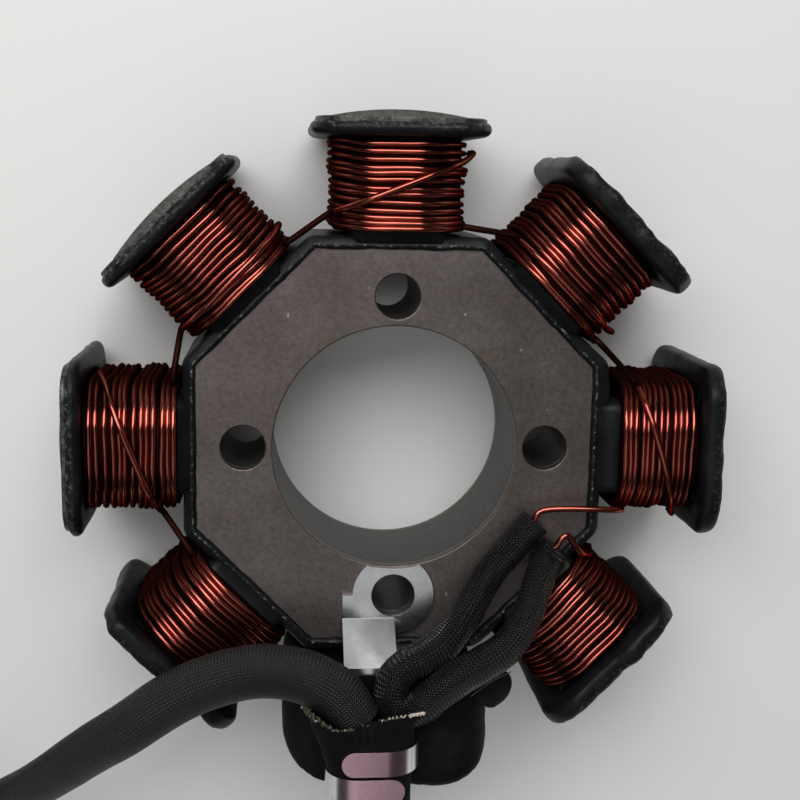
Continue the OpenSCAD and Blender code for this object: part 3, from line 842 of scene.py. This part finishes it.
def coated_ring(shell):
    """The wall of the ring with a rounded border on both faces."""
    rear = [(a, CORE_T - z, rubbed) for a, z, rubbed in reversed(RING_PROFILE)]
    rings = []
    uv = []
    for apothem, z, rubbed in RING_PROFILE + RING_WALL + rear + RING_BACK:
        ring = []
        for flat in rounded_octagon(apothem, max(0.5, 2.2 - (COATED_APOTHEM - apothem)), 6, 24):
            out = flat.normalized()
            p = flat + UP * z
            if apothem < BORDER_APOTHEM:
                p = p + out * (0.16 * wobble(p, 0.35, 6.0) + 0.09 * wobble(p, 1.2, 7.0))
            elif apothem > WALL_APOTHEM:
                turn = math.degrees(math.atan2(p.y, p.x))
                swell = SWELL * math.exp(-((turn - SWELL_ANGLE) / SWELL_SPREAD) ** 2)
                p = p + out * (swell - 0.1 - 0.1 * wobble(p, 0.35, 6.0))
            if z > CORE_T + 0.3 or z < -0.3:
                p.z += 0.08 * wobble(p, 0.5, 8.0) + 0.05 * wobble(p, 1.6, 8.5)
            ring.append(p)
        rings.append(ring)
        uv.append((RING_ROUND, rubbed))
    shell.loft(rings, closed_path=True, uv=uv)


def make_coating():
    shell = Shell()
    coated_ring(shell)
    for i in range(1, COILS + 1):
        coated_shoe(shell, pole_angle(i), LIP_H / 2, LIP_CORNER_R + COAT_T, i)
        coated_neck(shell, pole_angle(i))
    coated_shoe(shell, EXCITER_ANGLE, CORE_T / 2 + COAT_T, 1.0)
    coated_neck(shell, EXCITER_ANGLE)
    shell.build("epoxy_dressed", [EPOXY], ("epoxy_coating",))


# Windings
# A turn of the outer layer: corner radius, rounder than the neck's, wire diameter, and half sizes of its axis
TURN_R = 7.0
TURN_D = 0.74
TURN_HALF_W = WINDING_IN_W / 2 + WINDING_BUILD - WIRE_D / 2
TURN_HALF_H = WINDING_IN_H / 2 + WINDING_BUILD - WIRE_D / 2
WIRE_END = WINDING_END - WIRE_D / 2
WIRE_SIDES = 12
TURN_STEPS = 72
# Round one corner, between these shares of a turn, the wire makes most of its step to the next turn
STEP_FROM = 0.36
STEP_TO = 0.51
CORNER_STEP = 0.75
# One coil starts farther from the ring and has a turn less
SHORT_COIL = 6
SHORT_COIL_OFFSET = 1.5


def winding_start(coil):
    return WINDING_START + (SHORT_COIL_OFFSET if coil == SHORT_COIL else 0.0)


def turn_point(t, half_w, half_h, r):
    """A point round the winding's section at the share t of a turn, with its outward direction."""
    flat_w, flat_h = half_w - r, half_h - r
    lengths = [2 * flat_h, math.pi * r / 2, 2 * flat_w, math.pi * r / 2] * 2
    d = (t % 1.0) * sum(lengths)
    corners = [(flat_w, flat_h, 0), (-flat_w, flat_h, 90), (-flat_w, -flat_h, 180), (flat_w, -flat_h, 270)]
    for k in range(8):
        if d <= lengths[k] or k == 7:
            break
        d -= lengths[k]
    cx, cy, a0 = corners[k // 2]
    round_corner = k % 2
    a = math.radians(a0) + (d / r if round_corner else 0.0)
    out = Vector((math.cos(a), math.sin(a)))
    point = Vector((cx, cy)) + r * out
    if not round_corner:
        point -= Vector((-out.y, out.x)) * (lengths[k] - d)
    return point, out


def coil_line(coil, angle):
    """One wire wound round the pole, each turn a little out of line with the last."""
    rng = random.Random(40 + coil)
    turns = TURNS - 1 if coil == SHORT_COIL else TURNS
    start = winding_start(coil)
    pitch = (WINDING_END - start) / turns
    line = []
    lifts = [rng.uniform(-0.4, 0.0) for _ in range(turns + 3)]
    slips = [rng.uniform(-0.28, 0.28) for _ in range(turns + 3)]
    for k in range(-TURN_STEPS // 3, round((turns - 0.3) * TURN_STEPS)):
        i, f = divmod(k / TURN_STEPS, 1.0)
        i = int(i)
        lift = lifts[i + 1] * (1 - f) + lifts[i + 2] * f
        slip = slips[i + 1] * (1 - f) + slips[i + 2] * f
        (side, height), out = turn_point(f, TURN_HALF_W, TURN_HALF_H, TURN_R)
        side, out.x = -side, -out.x
        step = (1 - CORNER_STEP) * f + CORNER_STEP * eased(f, STEP_FROM, STEP_TO)
        r = start + (i + step) * pitch + slip
        p = Vector((r, side, height))
        shift = lift + 0.1 * wobble(p + Vector((17.0 * coil, 0, 0)), 0.3, 9.0)
        side += out.x * shift
        height += out.y * shift
        r += 0.2 * wobble(p + Vector((0, 13.0 * coil, 0)), 0.2, 3.0)
        r = min(max(r, start + TURN_D / 2), WIRE_END)
        line.append(at_pole(angle, r, side, MID_Z + height))
    return line


def make_coil(i):
    """The outer layer of wire over a body that stands for the layers under it, painted near-black as their
    shade.
    """
    angle = pole_angle(i)
    shell = Shell()
    shell.tube(coil_line(i, angle), TURN_D / 2, WIRE_SIDES, up=at_pole(angle, 1, 0, 0))
    start = winding_start(i)
    under = 0.6 * WIRE_D
    shape = rounded_rect(TURN_HALF_W - under, TURN_HALF_H - under, TURN_R - 0.5, 8, 3)
    ends = (start, start + 0.1, WINDING_END - 0.1, WINDING_END)
    shell.loft(pole_rings(angle, shape, ends), caps=True, slot=1)
    shell.build(f"coil_{i}_dressed", [COPPER, COPPER_PAINTED_SHADE], (f"coil_{i}",))


def over_coil(pole, r, lean, side, above=0.85):
    """A point above the front of a coil: lean is the angle from straight up round its rounded side."""
    a = math.radians(lean)
    reach = TURN_R + above * WIRE_D
    return at_pole(pole, r, side * (TURN_HALF_W - TURN_R + reach * math.sin(a)),
                   MID_Z + TURN_HALF_H - TURN_R + reach * math.cos(a))


def make_crossover(i):
    """A wire laid over the front of coil i + 1 and on to the root of coil i.

    It comes up beside the outer end of every second coil, and lies along the root of the others.
    """
    start, end = pole_angle(i + 1), pole_angle(i)
    root_r = winding_start(i + 1)
    first_r = WIRE_END - 1.8 if i % 2 else root_r + 2.4
    last_r = root_r + (1.8 if i % 2 else 2.0)
    points = [over_coil(start, first_r + 0.5, 86, -1, 0.6), over_coil(start, first_r + 0.45, 74, -1, 1.2)]
    for lean, side in ((56, -1), (34, -1), (8, -1), (8, 1), (34, 1), (56, 1), (72, 1)):
        share = 0.5 + 0.5 * side * (0.17 + 0.83 * math.sin(math.radians(lean)))
        points.append(over_coil(start, first_r + (last_r - first_r) * share, lean, side))
    points.append(over_coil(end, WINDING_START + 0.6, 64, -1, 0.9))
    points.append(over_coil(end, WINDING_START + 0.5, 86, -1, 0.4))
    steps = 8
    line = smooth_line(points, steps)
    leaves = 7 * steps
    shell = Shell()
    shell.tube(line[:leaves + 1], WIRE_D / 2, WIRE_SIDES)
    shell.tube(line[leaves:], WIRE_D / 2, WIRE_SIDES, slot=1)
    name = f"crossover_{i}"
    shell.build(name + "_dressed", [COPPER, COPPER_DARK], (name,), sharp=60)


# Leads
def make_lead_wire(name, route, coil, side):
    start = Vector(route[-1])
    ahead = (start - Vector(route[-2])).normalized()
    pole = pole_angle(coil)
    root_r = winding_start(coil)
    points = [start - 0.5 * ahead, start + 2 * ahead, over_coil(pole, root_r - 0.9, 44, side, 2.2),
              over_coil(pole, root_r + 0.9, 60, side), over_coil(pole, root_r + 1.2, 84, side, 0.4)]
    shell = Shell()
    shell.tube(smooth_line(points, 8), WIRE_D / 2, WIRE_SIDES)
    shell.build(name + "_dressed", [COPPER], (name,), sharp=60)


def lead_radius(i):
    """A lead's sleeve is gathered at its start, fullest near the wrap and slimmer farther on."""
    return LEAD_D / 2 * (0.6 + 0.53 * min(1.0, i / 20) - 0.13 * eased(i, 50, 75))


def make_lead(name, route):
    line = smooth_line(route, 10)
    shell = Shell()
    shell.tube(line, lead_radius, SLEEVE_SIDES)
    for i, v in enumerate(shell.verts):
        out = (v - line[i // SLEEVE_SIDES]).normalized()
        shell.verts[i] = v - out * (0.1 + 0.1 * wobble(v, 0.5, 11.0))
    shell.build(name + "_dressed", [LEAD], (name,), sharp=60)


# Exciter
TAPE_W = 7.0
TAPE_STEP = 0.13
TAPED_R = 14.0
TAPED_X = -1.0


def make_exciter():
    """Tape wound in overlapping turns, softened, and fuller at its outer right side."""
    obj = add_piece("exciter_tape_dressed", copy_of_node("exciter_tape"), ("exciter_tape",))
    remesh = obj.modifiers.new("even", "REMESH")
    remesh.mode = "VOXEL"
    remesh.voxel_size = 0.42 * MM
    soft = obj.modifiers.new("soft", "SMOOTH")
    soft.factor = 0.5
    soft.iterations = 30
    apply_modifiers(obj)
    mesh = obj.data
    mesh.materials.clear()
    mesh.materials.append(TAPE)
    for vertex, normal in zip(mesh.vertices, [v.normal.copy() for v in mesh.vertices]):
        p = vertex.co / MM
        turn = math.atan2(p.z - MID_Z, p.x - TAPED_X) * TAPED_R / TAPE_W + 0.06 * p.y
        step = turn - math.floor(turn)
        edge = max(0.0, 1 - (1 - step) / 0.06)
        lift = TAPE_STEP * (edge - step) + 0.2 * wobble(p, 0.22, 12.0)
        full = between(p.x, TAPED_X, TAPED_X + 6.0) * between(p.y, -36, -41)
        vertex.co += normal * (lift - 0.05 + 0.85 * full) * MM
    shade_smooth(mesh)
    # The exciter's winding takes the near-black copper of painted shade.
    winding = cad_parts["exciter_winding"].data
    winding.materials.clear()
    winding.materials.append(COPPER_PAINTED_SHADE)


# Clip
def make_clip():
    bevelled("cable_clip", 0.2, ZINC, 3)


# Cloth wrap
# The open edge as it is seen from the front, from left to right
MOUTH = [
    (-11.8, -30.1), (-9.8, -31.4), (-7.9, -32.3), (-5.7, -32.1), (-3.2, -31.3), (-1.9, -30.8), (0.1, -30.6),
    (1.8, -30.5), (3.8, -30.8)]
MOUTH_UNDER_Y = -32.4
WRAP_TAIL_Y = -44.6
WRAP_SIDES = 64
WRAP_STEPS = 22
WRAP_CLOTH_T = 0.45


def mouth_y(x):
    for (x0, y0), (x1, y1) in zip(MOUTH, MOUTH[1:]):
        if x <= x1:
            return y0 + (y1 - y0) * max(0.0, (x - x0) / (x1 - x0))
    return MOUTH[-1][1]


def wrap_point(c, s, y, inset):
    """A point of the wrap's soft oblong section, which opens towards the sleeves, most to the left."""
    left = CLIP_X - WRAP_W / 2 + 0.05 - 3.4 * between(y, -41.0, -30.8) ** 1.3
    right = CLIP_X + WRAP_W / 2 - 0.05 + 0.4 * eased(y, -42, -34) + 1.5 * eased(y, -32.4, -30.6)
    half_h = WRAP_H / 2 - 0.05 + 0.35 * eased(y, -34.6, -31.4)
    x = (left + right) / 2 + ((right - left) / 2 - inset) * math.copysign(abs(c) ** 0.62, c)
    return Vector((x, y, WRAP_Z + (half_h - inset) * math.copysign(abs(s) ** 0.75, s)))


def wrap_ring(share, inset):
    """A ring at a share of the way from the wrap's tail to its mouth."""
    ring = []
    for a in around(WRAP_SIDES):
        c, s = math.cos(a), math.sin(a)
        y_top = mouth_y(wrap_point(c, s, -31.0, 0).x) if s > -0.2 else MOUTH_UNDER_Y
        y = WRAP_TAIL_Y + (y_top - WRAP_TAIL_Y) * share
        p = wrap_point(c, s, y, inset)
        p += Vector((c, 0, s)) * 0.12 * wobble(p, 0.5, 14.0) * (1.0 if y > -38 else 0.4)
        ring.append(p)
    return ring


def make_wrap():
    """The tail's rounded end, the outside up to the mouth, and a fold of the inside."""
    tail = wrap_ring(0.0, 0)
    rings = []
    for f in (0.15, 0.6, 0.86, 0.96):
        rings.append([Vector((CLIP_X + (p.x - CLIP_X) * f, p.y - 0.4 * (1 - f), WRAP_Z + (p.z - WRAP_Z) * f))
                      for p in tail])
    rings += [wrap_ring(k / WRAP_STEPS, 0) for k in range(WRAP_STEPS + 1)]
    edge = rings[-1]
    rings += [wrap_ring(share, WRAP_CLOTH_T) for share in (1.0, 0.97, 0.9, 0.78)]
    shell = Shell()
    shell.loft(rings, caps=True, uv=[(32.0, -ring[0].y) for ring in rings])
    shell.build("bundle_wrap_dressed", [WRAP], ("bundle_wrap",), sharp=70)
    make_fray(edge)


def make_fray(edge):
    """Cut yarns along the wrap's open edge: soiled and fine on the left, pale knots on the right."""
    rng = random.Random(7)
    shell = Shell()
    front = [p for p in edge if p.z > WRAP_Z - 0.5]
    for p in front:
        share = between(p.x, -1.5, 1.5)
        for _ in range(6):
            spot = p + Vector((rng.uniform(-0.45, 0.45), rng.uniform(-0.06, 0.04), rng.uniform(-0.03, 0.1)))
            pale = rng.random() < 0.1 + 0.8 * share
            length = rng.uniform(0.12, 0.3)
            tip = Vector((rng.uniform(-0.6, 0.6), 0.6, rng.uniform(0.0, 0.5))).normalized() * length
            bend = Vector((rng.uniform(-0.15, 0.15), rng.uniform(-0.1, 0.1), rng.uniform(0, 0.15)))
            line = [spot - tip * 0.5, spot + bend * 0.4, spot + tip * 0.6 + bend, spot + tip]
            thick = rng.uniform(0.04, 0.07) + (0.05 * share if pale else 0.0)
            shell.tube(smooth_line(line, 2), thick, 6, slot=0 if pale else 1)
    shell.build("wrap_fray", [YARN, YARN_GREY])


def make_tongue_and_shade():
    """A strip of the wrap's black cloth on the clip under the sleeves: partly the wrap's lower layer, partly
    painted shade where the sleeves shade the clip.
    """
    left, right, bottom = -6.9, 0.2, 25.43
    length = 7.0
    steps = 11
    rings = []
    for k in range(steps + 1):
        t = k / steps
        y = -27.9 - 0.25 * wobble((9.0 * t, 0, 0), 1.0, 15.0) * (1 - t) - length * t
        top = 25.66 - 0.06 * t
        section = ((left, bottom), (right, bottom), (right, top), (-2.2, top + 0.02), (-4.6, top),
                   (left, top))
        ring = []
        for x, z in section:
            bulge = 0.25 * math.sin(7.0 * t + 0.9 * x)
            ring.append(Vector((x, y + bulge * (1 - t), z)))
        rings.append(ring)
    shell = Shell()
    shell.loft(rings, caps=True, uv=[(14.0, length * k / steps) for k in range(steps + 1)])
    shell.build("wrap_tongue_and_shade", [WRAP], sharp=50)


def make_tape_end():
    """The loose end of the tape beside the outer lead, with its pale cut edge."""
    mid_x = 12.6
    steps = 12
    rings = []
    for k in range(steps + 1):
        t = k / steps
        half = 2.5 * math.sin(math.pi * min(0.97, 0.14 + 0.83 * t)) ** 0.55
        ring = []
        for a in around(20):
            x = mid_x + half * math.cos(a) + 0.1 * t
            y = -28.7 - 4.5 * t + 0.55 * (x - mid_x) * (1 - t)
            z = 24.9 - 1.6 * t * t + 0.4 * math.sin(a) - 0.5 * max(0.0, math.cos(a)) ** 2
            ring.append(Vector((x, y, z)))
        rings.append(ring)
    shell = Shell()
    shell.loft(rings, caps=True, uv=[(12.0, 5.0 * k / steps) for k in range(steps + 1)])
    edge = [(9.6, -30.9, 25.4), (12.2, -28.8, 25.7), (14.8, -27.7, 25.2)]
    shell.tube(smooth_line(edge, 5), 0.07, 6, slot=1)
    shell.build("tape_end", [TAPE, YARN_GREY])


# Floor and light
def make_stage():
    """A pale floor, which is evenly pale where it is far from the part."""
    mesh = bpy.data.meshes.new("floor")
    size = 3.0
    z = FLOOR_Z * MM - 0.0001
    corners = [(-size, -size, z), (size, -size, z), (size, size, z), (-size, size, z)]
    mesh.from_pydata(corners, [], [(0, 1, 2, 3)])
    paint = Paint("floor", (0.78, 0.775, 0.765), roughness=0.7)
    far = paint.math("MULTIPLY", paint.ramp(paint.radius(), (0.2, 0.0), (0.5, 1.0)), paint.seen_rays())
    pale = paint.node("ShaderNodeEmission")
    pale.inputs["Color"].default_value = (0.74, 0.735, 0.725, 1.0)
    paint.show(far, paint.shader.outputs["BSDF"], pale.outputs["Emission"], "Material Output")
    mesh.materials.append(paint.material)
    floor = bpy.data.objects.new("floor", mesh)
    bpy.context.scene.collection.objects.link(floor)


def make_world():
    """Even light on the part. The background is pale, and metal also shows the darker room above it."""
    world = bpy.data.worlds.new("world")
    world.use_nodes = True
    sky = Nodes(world.node_tree)
    height = sky.split(sky.node("ShaderNodeTexCoord").outputs["Generated"])["Z"]
    camera_ray = sky.node("ShaderNodeLightPath").outputs["Is Camera Ray"]
    level = sky.ramp(sky.math("SUBTRACT", height, camera_ray), (0.04, 0.8), (0.2, 0.05))
    even = sky.tree.nodes["Background"]
    even.inputs["Color"].default_value = (0.27, 0.27, 0.27, 1.0)
    pale = sky.node("ShaderNodeBackground")
    sky.link(level, pale.inputs["Color"])
    sky.show(sky.seen_rays(), even.outputs["Background"], pale.outputs["Background"], "World Output")
    bpy.context.scene.world = world


def make_light(name, place, target, width, depth, power):
    """A soft lamp aimed at a target, with its places and sizes in metres and its power in watts."""
    data = bpy.data.lights.new(name, "AREA")
    data.shape = "RECTANGLE"
    data.size = width
    data.size_y = depth
    data.energy = power
    lamp = bpy.data.objects.new(name, data)
    lamp.location = place
    lamp.rotation_euler = (Vector(target) - Vector(place)).to_track_quat("-Z", "Y").to_euler()
    bpy.context.scene.collection.objects.link(lamp)


def make_lights():
    bpy.context.scene.view_settings.view_transform = "Standard"
    make_world()
    make_light("key", (-0.06, 0.24, 0.37), (0, 0, 0), 0.44, 0.26, 1.65)
    make_light("top", (-0.12, -0.16, 0.5), (0, 0, 0), 0.4, 0.4, 0.26)
    make_light("back", (0.0, 0.8, 0.16), (0, -0.02, 0.02), 0.35, 0.35, 0.14)


make_core()
make_coating()
for i in range(1, COILS + 1):
    make_coil(i)
for i in range(1, COILS - 1):
    make_crossover(i)
make_lead("lead_sleeve_inner", LEAD_INNER_ROUTE)
make_lead("lead_sleeve_outer", LEAD_OUTER_ROUTE)
make_lead_wire("lead_wire_inner", LEAD_INNER_ROUTE, 6, -1)
make_lead_wire("lead_wire_outer", LEAD_OUTER_ROUTE, 7, 1)
make_exciter()
make_clip()
make_wrap()
make_tongue_and_shade()
make_tape_end()
make_stage()
make_lights()
